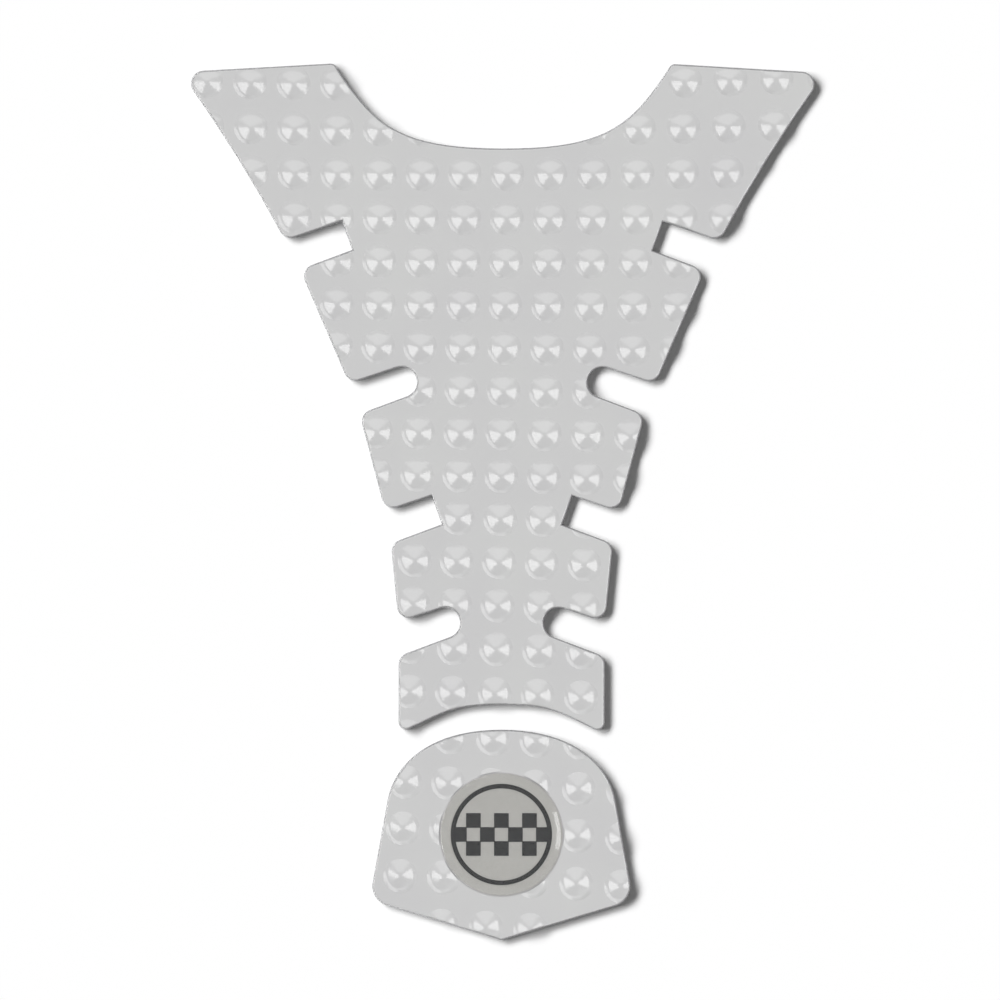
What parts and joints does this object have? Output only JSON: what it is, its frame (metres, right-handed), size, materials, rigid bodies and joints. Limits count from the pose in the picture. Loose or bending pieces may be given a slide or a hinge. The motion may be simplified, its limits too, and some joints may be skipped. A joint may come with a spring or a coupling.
{
  "type": "motorcycle tank pad",
  "caption": "Flat studded tank pad: a horned spine with notched tabs down both sides, a separate shield-shaped tail piece and a round domed badge.",
  "frame": {"origin": "middle of the whole pad's outline, on the flat back that rests on the surface", "axes": "+X to the right seen from the studded face, +Y towards the horns, +Z out of the studded face"},
  "size_m": [0.152, 0.2138, 0.0044],
  "materials": {
    "studded_sheet": "satin silver-grey moulded polyurethane with glossy studs",
    "badge_face": "satin silver label",
    "badge_ink": "dark charcoal print",
    "clear_resin": "clear glossy cast resin"
  },
  "bodies": {
    "root": {"spine_pad": "studded_sheet", "shield_pad": "studded_sheet", "badge_disc": "badge_face", "badge_print": "badge_ink", "badge_dome": "clear_resin"}
  },
  "joints": []
}
